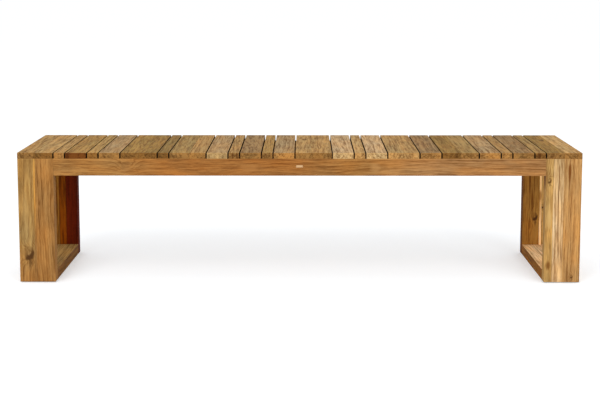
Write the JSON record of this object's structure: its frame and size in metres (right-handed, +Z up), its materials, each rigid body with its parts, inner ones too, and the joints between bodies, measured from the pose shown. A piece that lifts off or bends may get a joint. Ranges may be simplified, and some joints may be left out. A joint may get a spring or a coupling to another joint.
{
  "type": "backless bench",
  "caption": "Backless outdoor bench of solid teak: a flat slatted seat with random-width boards across it, on two wide closed-loop end frames joined by deep aprons.",
  "frame": {"origin": "on the floor, under the middle of the seat", "axes": "+X along the bench, from the left end frame to the right one; +Y from the front apron to the back apron; +Z up"},
  "size_m": [2, 0.45, 0.47],
  "materials": {
    "seat_teak": "sanded and lightly weathered reclaimed teak, boards of mixed tone",
    "frame_teak": "sanded reclaimed teak, warm golden brown, edge-glued staves with knots",
    "hidden_teak": "planed unfinished teak",
    "nylon": "black moulded nylon",
    "brass": "brushed, slightly dulled",
    "stainless_screw": "satin stainless steel"
  },
  "bodies": {
    "root": {"slat_01": "seat_teak", "slat_02": "seat_teak", "slat_03": "seat_teak", "slat_04": "seat_teak", "slat_05": "seat_teak", "slat_06": "seat_teak", "slat_07": "seat_teak", "slat_08": "seat_teak", "slat_09": "seat_teak", "slat_10": "seat_teak", "slat_11": "seat_teak", "slat_12": "seat_teak", "slat_13": "seat_teak", "slat_14": "seat_teak", "slat_15": "seat_teak", "slat_16": "seat_teak", "slat_17": "seat_teak", "slat_18": "seat_teak", "slat_19": "seat_teak", "slat_20": "seat_teak", "slat_21": "seat_teak", "slat_22": "seat_teak", "slat_23": "seat_teak", "slat_24": "seat_teak", "slat_25": "seat_teak", "front_left_post": "frame_teak", "back_left_post": "frame_teak", "left_runner": "frame_teak", "left_top_rail": "hidden_teak", "front_right_post": "frame_teak", "back_right_post": "frame_teak", "right_runner": "frame_teak", "right_top_rail": "hidden_teak", "front_apron": "frame_teak", "front_ledger": "hidden_teak", "back_apron": "frame_teak", "back_ledger": "hidden_teak", "centre_rail": "hidden_teak", "left_bearer": "hidden_teak", "middle_bearer": "hidden_teak", "right_bearer": "hidden_teak", "front_left_apron_peg": "hidden_teak", "front_left_runner_peg": "hidden_teak", "front_left_top_rail_peg": "hidden_teak", "back_left_apron_peg": "hidden_teak", "back_left_runner_peg": "hidden_teak", "back_left_top_rail_peg": "hidden_teak", "front_right_apron_peg": "hidden_teak", "front_right_runner_peg": "hidden_teak", "front_right_top_rail_peg": "hidden_teak", "back_right_apron_peg": "hidden_teak", "back_right_runner_peg": "hidden_teak", "back_right_top_rail_peg": "hidden_teak", "front_left_glide": "nylon", "back_left_glide": "nylon", "front_right_glide": "nylon", "back_right_glide": "nylon", "front_plate": "brass", "left_plate_pin": "brass", "right_plate_pin": "brass"}
  },
  "joints": []
}
